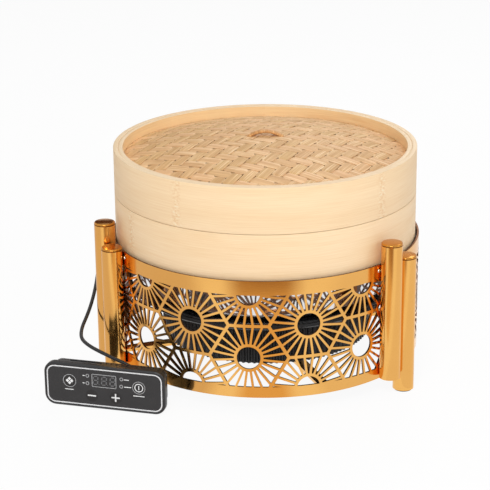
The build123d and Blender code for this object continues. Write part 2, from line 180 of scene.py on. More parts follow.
def newGroup(name, inputs, outputs):
    group = bpy.data.node_groups.new(name, "ShaderNodeTree")
    for way, labels in (("INPUT", inputs), ("OUTPUT", outputs)):
        for label in labels:
            kind = "NodeSocketVector" if label in ("Object", "Vector") else "NodeSocketFloat"
            group.interface.new_socket(name=label, in_out=way, socket_type=kind)
    return group, group.nodes.new("NodeGroupInput").outputs, group.nodes.new("NodeGroupOutput")


def placeGroup(tree, group, **inputs):
    return addNode(tree, "Group", inputs, node_tree=group).outputs


def hoopGroup():
    # object coordinates unrolled round the ring's axis: along the hoop, up, and outwards
    group, given, result = newGroup("unrolled", ("Object",), ("Vector", "Angle"))
    parts = addNode(group, "SeparateXYZ", {0: given["Object"]}).outputs
    x = calc(group, "SUBTRACT", parts[0], ringAxis.x)
    y = calc(group, "SUBTRACT", parts[1], ringAxis.y)
    angle = calc(group, "ARCTAN2", x, times(group, y, -1))
    square = calc(group, "ADD", times(group, x, x), times(group, y, y))
    along = times(group, angle, 0.16)
    flat = addNode(group, "CombineXYZ", {0: along, 1: parts[2], 2: calc(group, "SQRT", square)})
    setInputs(group, result, {"Vector": flat.outputs[0], "Angle": angle})
    return group


def grainGroup():
    # fine fibres along the first axis of the vector, with broader bands of tone
    group, given, result = newGroup("fibreGrain", ("Vector", "Fibre", "Band"), ("Tone", "Height"))
    fibre = noise(group, stretched(group, given["Vector"], (0.02, 1, 1)), given["Fibre"], 4, 0.5)
    band = noise(group, stretched(group, given["Vector"], (0.06, 1, 1)), given["Band"], 2, 0.5)
    tone = calc(group, "ADD", times(group, fibre, 0.6), times(group, band, 0.4))
    setInputs(group, result, {"Tone": tone, "Height": fibre})
    return group


def hazeGroup():
    # soft blotches of roughness, as handling leaves on a polished or moulded face
    group, given, result = newGroup("haze", ("Vector", "Scale", "Low", "High"), ("Roughness", "Mask"))
    mask = noise(group, given["Vector"], given["Scale"], 5, 0.6)
    rough = ramp(group, mask, 0.35, 0.65, given["Low"], given["High"])
    setInputs(group, result, {"Roughness": rough, "Mask": mask})
    return group


unrolled = hoopGroup()
fibreGrain = grainGroup()
haze = hazeGroup()

# Camera and light

cameraValues = {
    "lens": 129.8, "shiftX": -0.0422, "distance": 1902, "elevation": 19.3, "roll": -0.3,
    "target": 123.8,
}


def makeCamera(lens, shiftX, distance, elevation, roll, target):
    data = bpy.data.cameras.new("camera")
    data.lens = lens
    data.sensor_width = 36
    data.shift_x = shiftX
    camera = addObject("camera", data)
    tilt = radians(elevation)
    away = Vector((0, -cos(tilt), sin(tilt))) * distance
    place = Matrix.Translation(toFrame(away + Vector((0, 0, target))))
    camera.matrix_world = place @ turned(90 - elevation, "X") @ turned(roll)
    bpy.context.scene.camera = camera


lampValues = {
    "key": {"at": (-250, -1600, 1400), "size": 900, "power": 21},
    "side": {"at": (1400, -500, 900), "size": 800, "power": 4.5},
    "back": {"at": (300, 1300, 1400), "size": 900, "power": 10},
}
studioValues = {"surround": 0.48, "paper": 0.9, "paperWhite": 0.93, "paperSize": 12}
# glowing cards that only mirrors see: painted reflections in the polished metal, a dark one and a warm one
reflectionCardValues = {
    "backReflectionCard": {"at": (-420, 1900, 900), "size": (1300, 700), "tone": (0.1, 0.04, 0.015)},
    "sideReflectionCard": {"at": (760, 1900, 900), "size": (900, 700), "tone": (0.7, 0.52, 0.36)},
}
# a glowing ring on the floor that only mirrors see: painted reflections in the gold and the pan
floorReflectionValues = {
    "inner": 0.19, "outer": 2.6, "near": (0.84, 0.64, 0.4), "far": (0.35, 0.21, 0.12),
    "left": (0.76, 0.7, 0.67), "right": (0.9, 0.87, 0.86), "nearToFar": (0.47, 0.53),
    "narrowing": (0.235, 0.55, 0.52), "gapEdge": (0.26, 0.48), "flankEdge": (0.7, 0.95), "ring": 0.164,
    "panReach": (0.25, 0.27), "panPath": (0.02, 0.04),
}


def makeLamp(name, at, size, power):
    data = bpy.data.lights.new(name, "AREA")
    data.shape = "DISK"
    data.size = size * mm
    data.energy = power
    place = toFrame(at)
    aim = toFrame((0, 0, 120)) - place
    addObject(name, data).matrix_world = Matrix.Translation(place) @ facing(aim, "-Z")


def seenRays(tree):
    # one where a ray comes from the camera, a mirror or a glass
    path = addNode(tree, "LightPath").outputs
    seen = calc(tree, "MAXIMUM", path["Is Camera Ray"], path["Is Glossy Ray"])
    return calc(tree, "MAXIMUM", seen, path["Is Transmission Ray"])


def stageSheet(name, shape, material, mirrorsOnly=True):
    # what only mirrors see gives the polished metal something to show: a glowing sheet there is a painted
    # reflection
    mesh = meshOf(name, shape)
    mesh.materials.append(material)
    sheet = addObject(name, mesh)
    if mirrorsOnly:
        for kind in ("camera", "diffuse", "transmission", "volume_scatter", "shadow"):
            setattr(sheet, "visible_" + kind, False)


def makeStudio(surround, paper, paperWhite, paperSize):
    world = bpy.data.worlds.new("studio")
    bpy.context.scene.world = world
    world.use_nodes = True
    tree = world.node_tree
    tree.nodes.clear()
    lit = addNode(tree, "Background", {"Strength": surround})
    seen = addNode(tree, "Background")
    both = addNode(tree, "MixShader", {0: seenRays(tree), 1: lit.outputs[0], 2: seen.outputs[0]})
    addNode(tree, "OutputWorld", {"Surface": both.outputs[0]})
    material, tree, shader = newMaterial("floorPaper", (paper, paper, paper), Roughness=0.9)
    setInputs(tree, shader, {"Specular IOR Level": 0.1})
    glow = addNode(tree, "Emission")
    part = times(tree, seenRays(tree), paperWhite)
    showSurface(tree, addNode(tree, "MixShader", {0: part, 1: shader.outputs[0], 2: glow.outputs[0]}))
    stageSheet("floor", sheetShape(paperSize, paperSize), material, mirrorsOnly=False)


def makeReflectionCard(name, at, size, tone):
    # a glowing card seen only in mirrors: a painted reflection
    shape = sheetShape(*size)
    move(shape, turned(90, "X"), at, sized(mm, mm, mm))
    material, tree, _ = newMaterial(name)
    showSurface(tree, addNode(tree, "Emission", {"Color": tone}))
    stageSheet(name, shape, material)


def makeFloorReflection(
    inner, outer, near, far, left, right, nearToFar, narrowing, gapEdge, flankEdge, ring, panReach, panPath,
):
    # painted reflection for the polished sides: a glowing ring on the floor that only mirrors see, with two
    # bright flanks, and a darker gap at the front, warm near the ring and dark further out
    shape = disc(64, outer)
    middle = shape.faces[:]
    bmesh.ops.inset_region(
        shape, faces=middle, thickness=outer - inner, use_boundary=True, use_even_offset=True,
    )
    bmesh.ops.delete(shape, geom=middle, context="FACES")
    move(shape, ringAxis + Vector((0, 0, 0.003)))
    material, tree, _ = newMaterial("paintedFloorReflection")
    flat = placeGroup(tree, unrolled, Object=objectVector(tree))
    reach = addNode(tree, "SeparateXYZ", {0: flat["Vector"]}).outputs[2]
    turn = calc(tree, "DIVIDE", flat["Angle"], ramp(tree, reach, *narrowing))
    aside = calc(tree, "ABSOLUTE", calc(tree, "ADD", turn, 0.02))
    leftPart = ramp(tree, turn, -flankEdge[1], -flankEdge[0], 1, 0)
    tone = mix(tree, leftPart, (1, 1, 1), left)
    tone = mix(tree, ramp(tree, turn, *flankEdge), tone, right)
    gap = mix(tree, ramp(tree, reach, *nearToFar), near, far)
    tone = mix(tree, ramp(tree, aside, *gapEdge, 1, 0), tone, gap)
    # longer paths come from the pan, behind the panels, which mirrors this painted reflection as plain
    # white
    path = addNode(tree, "LightPath").outputs["Ray Length"]
    outside = times(tree, calc(tree, "SUBTRACT", reach, ring), 1.08)
    within = ramp(tree, calc(tree, "SUBTRACT", path, outside), *panPath)
    within = times(tree, within, ramp(tree, reach, *panReach, 1, 0), clamp=True)
    tone = mix(tree, within, tone, (1, 1, 1))
    showSurface(tree, addNode(tree, "Emission", {"Color": tone}))
    stageSheet("painted_floor_reflection", shape, material)


makeCamera(**cameraValues)
makeStudio(**studioValues)
for lampName, lamp in lampValues.items():
    makeLamp(lampName, **lamp)
for cardName, card in reflectionCardValues.items():
    makeReflectionCard(cardName, **card)
makeFloorReflection(**floorReflectionValues)
print("camera, light and floor made")

# Finishes


def hazyFinish(name, colour, tint, low, high, scale, stretch, grain, strength, **inputs):
    # tone and roughness vary softly, over a fine relief
    material, tree, shader = newMaterial(name, colour, **inputs)
    vector = objectVector(tree)
    blotch = placeGroup(tree, haze, Vector=vector, Scale=scale, Low=low, High=high)
    relief = noise(tree, stretched(tree, vector, stretch), grain, 2)
    dress(tree, shader, mix(tree, blotch["Mask"], colour, tint), blotch["Roughness"], relief, strength)
    return material


def polishedMetal(name, colour, tint, low, high, scale):
    return hazyFinish(name, colour, tint, low, high, scale, (1, 1, 14), 90, 0.04, Metallic=1)


def moulded(name, colour, rough, grain=300, bump=0.02):
    tint = [min(1, value * 1.35 + 0.004) for value in colour]
    return hazyFinish(name, colour, tint, rough - 0.05, rough + 0.07, 60, (1, 1, 1), grain, bump)


def dressWood(tree, shader, colour, grain, height, strength=0.25, rough=(0.62, 0.45)):
    dress(tree, shader, colour, ramp(tree, grain["Tone"], 0.3, 0.7, *rough), height, strength)


def bambooFinish(name, pale, deep, marks=()):
    # split bamboo bent to a hoop: fibres along it, and the stalk's joints at the given angles
    material, tree, shader = newMaterial(name, pale)
    flat = placeGroup(tree, unrolled, Object=objectVector(tree))
    grain = placeGroup(tree, fibreGrain, Vector=flat["Vector"], Fibre=1100, Band=70)
    colour = mix(tree, ramp(tree, grain["Tone"], 0.34, 0.6), deep, pale)
    wander = noise(tree, stretched(tree, flat["Vector"], (1, 0.5, 1)), 55, 2)
    mottle = noise(tree, stretched(tree, flat["Vector"], (0.8, 1.5, 1)), 330, 3, 0.65)
    wobble = times(tree, calc(tree, "SUBTRACT", wander, 0.5), 0.07)
    place = calc(tree, "ADD", flat["Angle"], wobble)
    height = grain["Height"]
    dotTone = [value * share for value, share in zip(deep, (0.92, 0.83, 0.72))]
    blots = ((0.5, 0.6, 0, 0.7, dotTone), (0.36, 0.44, 0.7, 0, (1, 0.87, 0.68)))
    for mark in marks:
        away = calc(tree, "ABSOLUTE", calc(tree, "SUBTRACT", place, radians(mark)))
        near = ramp(tree, away, 0.012, 0.05, 1, 0)
        for *limits, tone in blots:
            part = times(tree, near, ramp(tree, mottle, *limits), clamp=True)
            colour = mix(tree, part, colour, tone)
        lumps = times(tree, near, times(tree, mottle, 0.5))
        height = calc(tree, "ADD", height, lumps)
    dressWood(tree, shader, colour, grain, height)
    return material


def slatFinish(name, pale, deep):
    # straight split bamboo
    material, tree, shader = newMaterial(name, pale)
    grain = placeGroup(tree, fibreGrain, Vector=objectVector(tree), Fibre=700, Band=95)
    colour = mix(tree, ramp(tree, grain["Tone"], 0.36, 0.66), deep, pale)
    dressWood(tree, shader, colour, grain, grain["Height"])
    return material


def stripFinish(name, firstTone, secondTone, deep, pale, hollowShade):
    # the map runs along each strip, and its attribute holds tone, shade, nearness to an edge, and hollows,
    # which take a painted shade where a strip dips under
    material, tree, shader = newMaterial(name, firstTone)
    along = addNode(tree, "UVMap", uv_map="strip").outputs[0]
    tint = addNode(tree, "Attribute", attribute_name="tone").outputs
    grain = placeGroup(tree, fibreGrain, Vector=along, Fibre=1100, Band=200)
    parts = addNode(tree, "SeparateColor", {0: tint["Color"]}).outputs
    colour = mix(tree, parts[0], firstTone, secondTone)
    for factor, tone in (
        (ramp(tree, grain["Tone"], 0.4, 0.56, 0.5, 0), deep),
        (parts[1], deep),
        (ramp(tree, grain["Tone"], 0.52, 0.62, 0, 0.55), pale),
        (ramp(tree, parts[2], 0.7, 1, 0, 0.2), pale),
        (ramp(tree, tint["Alpha"], 0.3, 0.8), hollowShade),
    ):
        colour = mix(tree, factor, colour, tone)
    dressWood(tree, shader, colour, grain, grain["Height"], 0.3, (0.7, 0.5))
    return material


metals = {
    "gold": ("roseGold", (0.9, 0.5, 0.145), (0.86, 0.455, 0.12), 0.11, 0.17, 25),
    # the inside of the ring in a darker gold: painted shade
    "goldInside": ("roseGoldInside", (0.13, 0.06, 0.035), (0.09, 0.04, 0.022), 0.22, 0.36, 25),
    # cut edges, cap joints and the brackets inside the ring in a dark gold: painted shade
    "goldCut": ("roseGoldCut", (0.22, 0.09, 0.032), (0.16, 0.06, 0.022), 0.25, 0.4, 60),
    # the post caps in a darker gold than the tubes: painted shade
    "gold_cap": ("roseGoldCap", (0.68, 0.31, 0.06), (0.6, 0.26, 0.045), 0.12, 0.2, 60),
    "stainless": ("stainless", (0.8, 0.8, 0.81), (0.72, 0.73, 0.74), 0.02, 0.06, 30),
    "aluminium": ("aluminium", (0.62, 0.63, 0.65), (0.5, 0.51, 0.53), 0.35, 0.5, 80),
    "copper": ("copper", (0.62, 0.27, 0.13), (0.45, 0.18, 0.09), 0.3, 0.45, 120),
}
skins = {
    "rubber": ("blackRubber", (0.018, 0.018, 0.019), 0.7, 900, 0.2),
    "cooker_black": ("cookerBlack", (0.014, 0.014, 0.015), 0.34, 1400, 0.12),
    "cooker_glass": ("cookerGlass", (0.006, 0.006, 0.007), 0.09, 60),
    "control_face": ("controlFace", (0.02, 0.02, 0.0215), 0.36, 500),
    "inner_plastic": ("innerPlastic", (0.03, 0.03, 0.032), 0.5, 700, 0.15),
    "circuit_board": ("circuitBoard", (0.02, 0.13, 0.05), 0.45, 400, 0.1),
    "cord": ("cordSkin", (0.012, 0.012, 0.013), 0.45, 800, 0.1),
    "touchZone": ("touchZone", (0.011, 0.011, 0.0115), 0.36, 500),
    "print": ("facePrint", (0.8, 0.8, 0.8), 0.5),
    "printDim": ("facePrintDim", (0.13, 0.13, 0.135), 0.5),
    "printFine": ("facePrintFine", (0.42, 0.42, 0.43), 0.5),
    "silver": ("silverLine", (0.72, 0.72, 0.73), 0.3),
}
bamboos = {
    "bamboo": ("bambooOuter", (0.98, 0.738, 0.465), (0.91, 0.637, 0.36), (-33.5, 47, 160)),
    "bambooBasket": ("bambooBasket", (0.98, 0.74, 0.475), (0.91, 0.636, 0.357), (-59.5, 118)),
    "bambooEdge": ("bambooEdge", (0.88, 0.685, 0.45), (0.8, 0.575, 0.345)),
    "bambooInner": ("bambooInner", (0.97, 0.7, 0.38), (0.86, 0.56, 0.27)),
}
slats = {"bambooSlat": ("bambooSlat", (0.82, 0.64, 0.4), (0.7, 0.5, 0.28))}
strips = {
    # the last tone of each is the painted shade in the hollows where a strip dips under
    "weave": (
        "wovenStrips", (0.73, 0.455, 0.178), (0.91, 0.555, 0.275), (0.43, 0.21, 0.075),
        (0.96, 0.71, 0.42), (0.08, 0.022, 0.007),
    ),
    "cane": (
        "caneWinding", (0.84, 0.44, 0.14), (0.74, 0.34, 0.1), (0.3, 0.1, 0.028),
        (0.9, 0.62, 0.3), (0.16, 0.06, 0.02),
    ),
}
finishes = {}
for makeFinish, table in (
    (polishedMetal, metals), (moulded, skins), (bambooFinish, bamboos), (slatFinish, slats),
    (stripFinish, strips),
):
    for label, tones in table.items():
        finishes[label] = makeFinish(*tones)
print("finishes made:", len(finishes))

# Shared modelling steps


def allOf(shape):
    return shape.verts[:] + shape.edges[:] + shape.faces[:]


def vertsOf(geometry):
    return [item for item in geometry if isinstance(item, bmesh.types.BMVert)]


def sharpEdges(shape, degrees):
    limit = radians(degrees)
    return [edge for edge in shape.edges if len(edge.link_faces) == 2 and edge.calc_face_angle() > limit]


def newPiece(name, shape, slotName, *replaced, body="stand", finish=(), moved=None, sharp=32):
    # turns a shape in millimetres into a piece that rides on a body
    if moved is not None:
        move(shape, moved)
    move(shape, sized(mm, mm, mm), ringAxis)
    shape.normal_update()
    for face in shape.faces:
        face.smooth = True
    for edge in sharpEdges(shape, sharp):
        edge.smooth = False
    mesh = meshOf(name, shape)
    for label in finish or (slotName,):
        mesh.materials.append(finishes[label])
    piece = addObject(name, mesh)
    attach(piece, body)
    if replaced:
        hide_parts(*replaced)
    return piece


def faceOut(shape):
    bmesh.ops.recalc_face_normals(shape, faces=shape.faces)


def bevel(shape, geometry, offset, segments, affect="EDGES"):
    bmesh.ops.bevel(
        shape, geom=geometry, offset=offset, offset_type="OFFSET", segments=segments, profile=0.5,
        affect=affect, clamp_overlap=True, material=-1,
    )


def rounded(shape, offset, segments=2, angle=30, edges=None):
    shape.normal_update()
    bevel(shape, sharpEdges(shape, angle) if edges is None else edges, offset, segments)


def outlineOf(shape, points):
    # a closed line through the points
    corners = [shape.verts.new(point) for point in points]
    return corners + [shape.edges.new((corners[step - 1], corners[step])) for step in range(len(points))]


def spun(outline, steps=144, soften=0, segments=2):
    # a closed (radius, height) outline spun round the axis
    shape = bmesh.new()
    line = outlineOf(shape, [(radius, 0, height) for radius, height in outline])
    bmesh.ops.spin(
        shape, geom=line, cent=(0, 0, 0), axis=(0, 0, 1), angle=2 * pi, steps=steps, use_merge=True,
    )
    bmesh.ops.remove_doubles(shape, verts=shape.verts, dist=0.001)
    bmesh.ops.dissolve_degenerate(shape, edges=shape.edges, dist=0.0001)
    faceOut(shape)
    if soften:
        rounded(shape, soften, segments)
    return shape


def turnedRing(inner, outer, low, high, *steps):
    return spun(((inner, low), (outer, low), (outer, high), (inner, high)), *steps)


def joined(*shapes):
    whole = bmesh.new()
    for part in shapes:
        holder = meshOf("holder", part)
        whole.from_mesh(holder)
        bpy.data.meshes.remove(holder)
    return whole


def block(size, centre, soften=0):
    shape = bmesh.new()
    bmesh.ops.create_cube(shape, size=1)
    move(shape, sized(*size), centre)
    if soften:
        rounded(shape, soften)
    return shape


def plateShape(width, height, corner, depth, cornerSteps=6):
    # a round-cornered plate on edge: its foot at z 0, its front face at y 0, its back at y depth
    shape = sheetShape(width, height)
    bevel(shape, shape.verts[:], corner, cornerSteps, "VERTICES")
    move(shape, turned(90, "X"), (0, 0, height / 2))
    raised = bmesh.ops.extrude_face_region(shape, geom=shape.faces[:], use_keep_orig=True)["geom"]
    move(shape, (0, depth, 0), verts=vertsOf(raised))
    faceOut(shape)
    return shape


def largestFace(shape, toward):
    # the largest face that looks to the back, or to the front where toward is -1
    picked = [face for face in shape.faces if face.normal.y * toward > 0.9]
    return max(picked, key=lambda face: face.calc_area())


def insetFace(shape, face, thickness, depth=0):
    bmesh.ops.inset_individual(shape, faces=[face], thickness=thickness, depth=depth, use_even_offset=True)


def fillHoles(shape):
    bmesh.ops.holes_fill(shape, edges=[edge for edge in shape.edges if edge.is_boundary], sides=0)
    faceOut(shape)


# Control cord, from the cooker out through the rear panel and round to the control box

boxPlace = {"centre": (-164.65, -151.05), "turn": -14.55}
cordValues = {
    "radius": 1.9, "start": {"angle": -100, "reach": 121, "height": 52},
    "route": (
        (-136, 24, 52), (-149, 32, 66), (-151, 40, 87), (-166, 43.5, 97),
        (-178, 34, 101), (-182, 10, 95), (-183, -18, 82.5), (-187.5, -45, 67.5),
        (-196, -72, 53), (-190, -92, 48.5), (-160, -114, 42), (-137, -126.5, 36.5),
        (-128.8, -132.5, 26),
    ),
    "end": (46, 27, 26),  # about the control box's foot
    "boot": {"length": 20, "wide": 4.1, "narrow": 2.5, "step": 1, "groove": 0.35},
}


def atBox():
    return Matrix.Translation((*boxPlace["centre"], 0)) @ turned(boxPlace["turn"])


def bootShape(points, length, wide, narrow, step, groove):
    # a tapered strain relief with grooves, which follows the cord's line from its first point
    walked, wanted, spots = 0, 0, []
    for before, after in zip(points, points[1:]):
        run = (after - before).length
        while wanted <= walked + run and wanted <= length:
            spots.append((before.lerp(after, (wanted - walked) / run), after - before))
            wanted += step
        walked += run
    shape = bmesh.new()
    last = None
    for count, (spot, heading) in enumerate(spots):
        radius = wide + (narrow - wide) * count / (len(spots) - 1)
        if count % 3 == 1 and 3 < count < len(spots) - 3:
            radius -= groove
        matrix = Matrix.Translation(spot) @ facing(heading, "Z")
        made = bmesh.ops.create_circle(shape, segments=24, radius=radius, matrix=matrix)["verts"]
        edges = [edge for edge in shape.edges if edge.verts[0] in made]
        if last:
            bmesh.ops.bridge_loops(shape, edges=last + edges)
        last = edges
    fillHoles(shape)
    return shape


def linePoints(data):
    # the points along a cord's line, without its thickness
    bare = data.copy()
    bare.bevel_depth = 0
    holder = bpy.data.objects.new("holder", bare)
    line = bpy.data.meshes.new_from_object(holder)
    points = [vertex.co.copy() for vertex in line.vertices]
    bpy.data.objects.remove(holder)
    bpy.data.curves.remove(bare)
    bpy.data.meshes.remove(line)
    return points


def makeCord(radius, start, route, end, boot):
    begin = turned(start["angle"]) @ Vector((0, -start["reach"], start["height"]))
    points = [begin, *route, atBox() @ Vector(end)]
    data = bpy.data.curves.new("control_cord_line", "CURVE")
    data.dimensions = "3D"
    spline = data.splines.new("NURBS")
    spline.points.add(len(points) - 1)
    for knot, point in zip(spline.points, points):
        knot.co = (*toFrame(point), 1)
    spline.order_u = 3
    spline.use_endpoint_u = True
    spline.resolution_u = 10
    data.bevel_depth = radius * mm
    data.bevel_resolution = 5
    data.use_fill_caps = True
    data.materials.append(finishes["cord"])
    cord = addObject("cord_to_control", data)
    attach(cord, "stand")
    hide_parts("control_cord")
    path = linePoints(data)
    line = [(point - ringAxis) / mm for point in path]
    boots = [
        newPiece(name, bootShape(points, **boot), "rubber", sharp=40)
        for name, points in (("cooker_boot", line), ("control_boot", line[::-1]))
    ]


makeCord(**cordValues)

# Pierced gold ring: flat sheets are pierced, then bent round the axis

sheetValues = {
    "radius": 164, "thick": 2, "bottom": 17.8, "height": 125, "topBand": 15, "bottomBand": 11.5,
    "centre": -9.4, "seam": 0.2, "endMargin": 4.5, "columns": 3, "columnPitch": 21.3,
    "patternShift": 3.2, "rowPitch": 68.3, "lowRow": 61, "strap": 3.2, "rays": 24, "rayWidth": 2.3,
    "hubRadius": 15, "hubHole": 12, "holeSteps": 40, "bendStep": 2.5, "smallest": 0.6,
}
sheet = SimpleNamespace(**sheetValues)


def cut(shape, point, normal, clear=True):
    bmesh.ops.bisect_plane(
        shape, geom=allOf(shape), dist=0.0001, plane_co=point, plane_no=normal, clear_outer=clear,
    )


def rosetteShape():
    # the openings of one hexagon, lying flat: windows between the rays, and the hole in the hub
    inset = 1 - sheet.strap / sheet.rowPitch
    across = radians(sheet.columnPitch) * sheet.radius * 2 / 3 * inset
    high = sheet.rowPitch / 2 / sin(pi / 3) * inset
    windows = []
    for step in range(sheet.rays):
        angle = 2 * pi * step / sheet.rays
        window = disc(6, 1)
        move(window, turned(30), sized(across, high, 1))
        for side in (-1, 1):
            ray = angle + side * pi / sheet.rays
            outward = Vector((-sin(ray), cos(ray), 0)) * side
            cut(window, -outward * sheet.rayWidth / 2, outward)
        outward = Vector((cos(angle), sin(angle), 0))
        cut(window, outward * sheet.hubRadius, -outward)
        windows.append(window)
    return joined(*windows, disc(sheet.holeSteps, sheet.hubHole))


def openingsShape():
    # all the openings of one panel, clipped by the plain bands and the panel's ends
    shape = rosetteShape()
    first = allOf(shape)
    arc = radians(1) * sheet.radius
    for column in range(-sheet.columns, sheet.columns + 1):
        row = sheet.lowRow - (sheet.rowPitch / 2 if column % 2 else 0)
        across = (sheet.patternShift + column * sheet.columnPitch) * arc
        for height in (row, row + sheet.rowPitch):
            copy = bmesh.ops.duplicate(shape, geom=first)["geom"]
            move(shape, (across, height, 0), verts=vertsOf(copy))
    bmesh.ops.delete(shape, geom=vertsOf(first), context="VERTS")
    limit = (60 - sheet.endMargin) * arc
    cut(shape, (limit, 0, 0), (1, 0, 0))
    cut(shape, (-limit, 0, 0), (-1, 0, 0))
    cut(shape, (0, sheet.bottom + sheet.bottomBand, 0), (0, -1, 0))
    cut(shape, (0, sheet.bottom + sheet.height - sheet.topBand, 0), (0, 1, 0))
    slivers = [face for face in shape.faces if face.calc_area() < sheet.smallest]
    bmesh.ops.delete(shape, geom=slivers, context="FACES")
    return shape


def panelShape(turn):
    shape = openingsShape()
    bmesh.ops.delete(shape, geom=shape.faces[:], context="FACES_ONLY")
    radius = sheet.radius
    half = radians(60 - sheet.seam / 2) * radius
    low, high = sheet.bottom, sheet.bottom + sheet.height
    outlineOf(shape, [(-half, low, 0), (half, low, 0), (half, high, 0), (-half, high, 0)])
    bmesh.ops.triangle_fill(
        shape, use_beauty=True, use_dissolve=False, edges=shape.edges[:], normal=(0, 0, 1),
    )
    bend = radians(sheet.bendStep) * radius
    count = int(half / bend)
    for step in range(-count, count + 1):
        cut(shape, (step * bend, 0, 0), (1, 0, 0), clear=False)
    bmesh.ops.triangulate(shape, faces=shape.faces[:])
    faceOut(shape)
    for corner in shape.verts:
        angle = corner.co.x / radius + radians(turn)
        corner.co = (radius * sin(angle), -radius * cos(angle), corner.co.y)
    shape.normal_update()
    if shape.faces[0].normal.dot(shape.faces[0].calc_center_median()) < 0:
        bmesh.ops.reverse_faces(shape, faces=shape.faces)
    bmesh.ops.solidify(shape, geom=shape.faces[:], thickness=sheet.thick)
    return shape


def outwards(point):
    return Vector((point.x, point.y, 0)).normalized()


def finishPanel(mesh):
    # gives the inside and the cut edges darker golds as painted shade, and shades the bent faces as true
    # rounds, without flats
    normals = []
    for face in mesh.polygons:
        along = face.normal.dot(outwards(face.center - ringAxis))
        if along < 0.5:
            face.material_index = 1 if along < -0.9 else 2
        for corner in face.loop_indices:
            outward = outwards(mesh.vertices[mesh.loops[corner].vertex_index].co - ringAxis)
            normals.append(outward * (1 if along > 0 else -1) if abs(along) > 0.9 else face.normal.copy())
    mesh.normals_split_custom_set(normals)


def makePanels():
    for step, side in enumerate(("front", "right", "rear")):
        panel = newPiece(
            f"lattice_{side}", panelShape(sheet.centre + 120 * step), "gold", f"panel_{side}",
            f"rim_band_{side}", finish=("gold", "goldInside", "goldCut"),
        )
        finishPanel(panel.data)
    print("pierced panels made")


makePanels()

rivetValues = {"angles": (44.4, -63.2), "height": 136.5, "radius": 2, "proud": 1.1, "sunk": 0.2}


def makeRivets(angles, height, radius, proud, sunk):
    # small domed rivets that hold the brackets under the pan's rim
    outline = ((0, 0), (radius, 0), (radius, proud * 0.35), (radius * 0.7, proud * 0.85), (0, proud))
    rivets = []
    for angle in angles:
        rivet = spun(outline, 24)
        place = turned(angle) @ Matrix.Translation((0, sunk - sheet.radius, height))
        move(rivet, turned(90, "X"), place)
        rivets.append(rivet)
    newPiece("band_rivets", joined(*rivets), "stainless", sharp=60)


makeRivets(**rivetValues)

# Posts, caps and pads

postValues = {
    "radius": 11, "length": 144, "ring": 175, "spread": 8.06, "raised": 21.4, "pad": 1.5,
    "padRadius": 9.5, "capHeight": 2.8, "capChamfer": 0.9, "joint": 0.45, "wall": 1.2, "recess": 1.5,
    "steps": 72,
}


def makePosts(
    radius, length, ring, spread, raised, pad, padRadius, capHeight, capChamfer, joint, wall, recess, steps
):
    def atSeam(seam, turn, height):
        return turned(seam + turn) @ Matrix.Translation((0, -ring, height))

    seams = {side: sheet.centre + 60 + 120 * step for step, side in enumerate(("right", "rear", "left"))}
    tube = (
        (0, recess), (radius - wall, recess), (radius - wall, 0), (radius, 0), (radius, length),
        (radius - joint, length), (0, length),
    )
    capLine = (
        (0, 0), (radius - joint, 0), (radius - joint, joint), (radius, joint * 2),
        (radius, capHeight - capChamfer), (radius - capChamfer, capHeight), (0, capHeight),
    )
    for kind, turn, bottom in (("raised", -spread / 2, raised), ("foot", spread / 2, pad)):
        caps = []
        for side, seam in seams.items():
            place = atSeam(seam, turn, bottom)
            post = spun(tube, steps)
            newPiece(f"{kind}_tube_{side}", post, "gold", f"{kind}_post_{side}", moved=place)
            cap = spun(capLine, steps, 0.2)
            # the joint under each cap takes the dark gold: a painted shade line
            for face in cap.faces:
                if face.calc_center_median().z < joint * 2:
                    face.material_index = 1
            move(cap, atSeam(seam, turn, bottom + length))
            caps.append(cap)
        newPiece(
            f"{kind}_tube_caps", joined(*caps), "gold_cap", f"{kind}_post_caps",
            finish=("gold_cap", "goldCut"),
        )
    pads = []
    for seam in seams.values():
        pads.append(turnedRing(0, padRadius, 0, pad, 48, 0.3))
        move(pads[-1], atSeam(seam, spread / 2, 0))
    newPiece("tube_pads", joined(*pads), "rubber", "foot_pads")
    print("posts made")


makePosts(**postValues)

# Induction cooker

cookerValues = {
    "bottom": 33, "height": 47, "radius": 112, "ribs": 120, "ribDepth": 2, "wall": 4, "base": 3,
    "rimRadius": 140, "rimHeight": 6, "rimInner": 106, "rimTaper": (3, 2.5), "glass": 3,
    "zones": (34, 74, 92), "zoneLine": 0.8,
}


